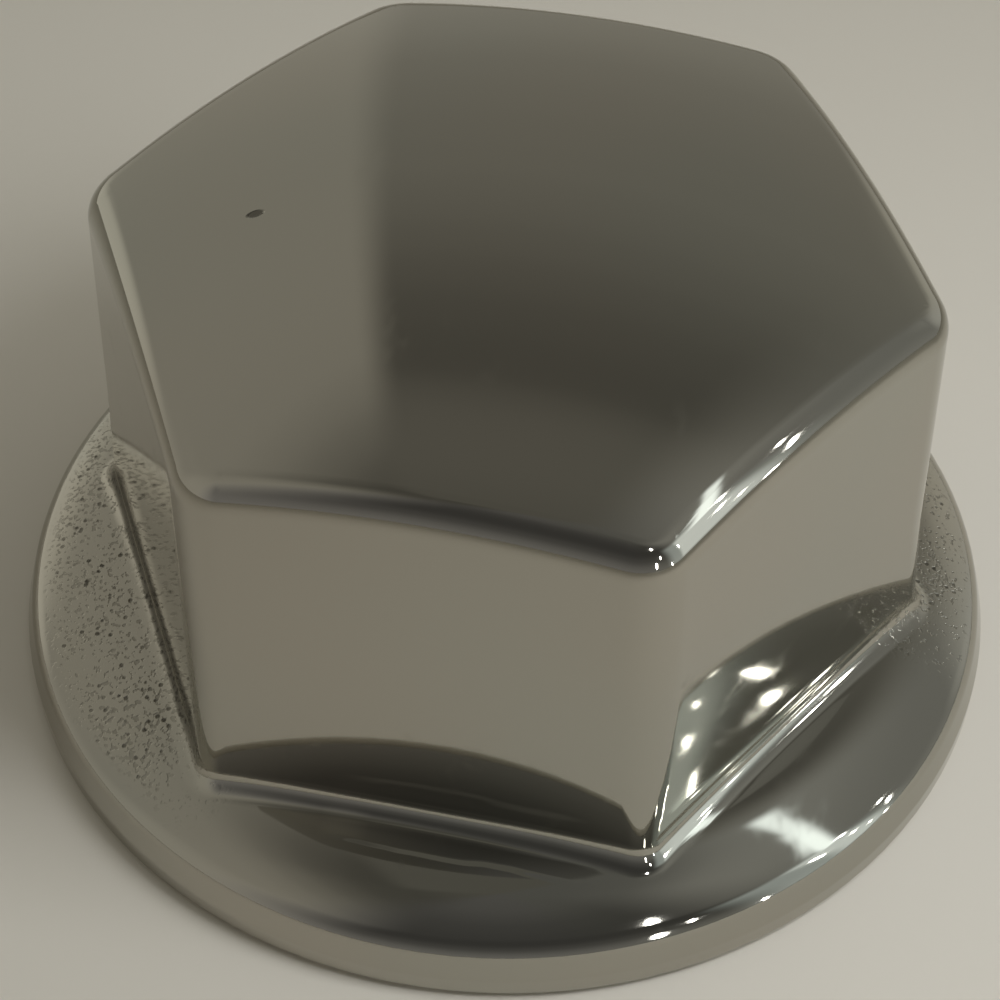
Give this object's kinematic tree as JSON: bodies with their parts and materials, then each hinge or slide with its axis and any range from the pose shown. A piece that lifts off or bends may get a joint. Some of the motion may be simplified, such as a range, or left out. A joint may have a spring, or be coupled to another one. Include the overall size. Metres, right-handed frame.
{
  "type": "lug nut",
  "caption": "Closed-end lug nut with a drafted hexagon, a shallow domed top and a wide rounded flange, threaded blind from below to clamp a wheel onto its stud.",
  "frame": {"origin": "centre of the flat seat face, on the thread axis", "axes": "+Z along the thread axis from the seat to the closed end, -Y out of one flat of the hexagon, +X through a corner"},
  "size_m": [0.0446, 0.0446, 0.0245],
  "materials": {
    "chrome_plate": "polished chrome over forged steel, slightly hazed, with dull pitting on the flange"
  },
  "bodies": {
    "root": {"lug_nut": "chrome_plate"}
  },
  "joints": []
}
